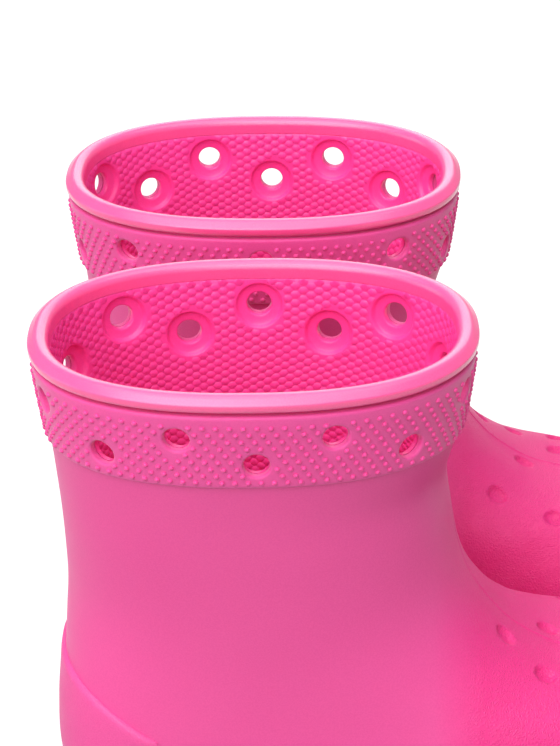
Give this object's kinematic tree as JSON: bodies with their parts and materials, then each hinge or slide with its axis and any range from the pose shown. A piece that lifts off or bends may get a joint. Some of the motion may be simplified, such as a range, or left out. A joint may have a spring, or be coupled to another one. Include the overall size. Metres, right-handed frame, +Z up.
{
  "type": "child's pull-on foam ankle boots",
  "caption": "Pair of child's moulded foam pull-on ankle boots with a flared studded collar pierced by round holes, a rolled rim, a rounded toe and a layered sole",
  "frame": {"origin": "On the floor under the middle of the pair, half way between the two boots and half way along them", "axes": "+X points to the toes, +Y to the wearer's left, so the right boot is at -Y and the left boot at +Y, and +Z is up"},
  "size_m": [0.2258, 0.188, 0.1655],
  "materials": {
    "shell_foam": "satin matte closed-cell foam",
    "cuff_foam": "satin closed-cell foam with moulded nubs",
    "bead_foam": "smooth satin closed-cell foam",
    "panel_foam": "fine grained closed-cell foam",
    "footbed_foam": "matte soft foam",
    "midsole_foam": "matte closed-cell foam",
    "outsole_rubber": "matte rubber",
    "tread_rubber": "matte patterned rubber"
  },
  "bodies": {
    "root": {"right_shell": "shell_foam", "right_collar_cuff": "cuff_foam", "right_rim_bead": "bead_foam", "right_heel_panel": "panel_foam", "right_footbed": "footbed_foam", "right_midsole": "midsole_foam", "right_outsole": "outsole_rubber", "right_forefoot_tread": "tread_rubber", "right_heel_tread": "tread_rubber", "left_shell": "shell_foam", "left_collar_cuff": "cuff_foam", "left_rim_bead": "bead_foam", "left_heel_panel": "panel_foam", "left_footbed": "footbed_foam", "left_midsole": "midsole_foam", "left_outsole": "outsole_rubber", "left_forefoot_tread": "tread_rubber", "left_heel_tread": "tread_rubber"}
  },
  "joints": []
}
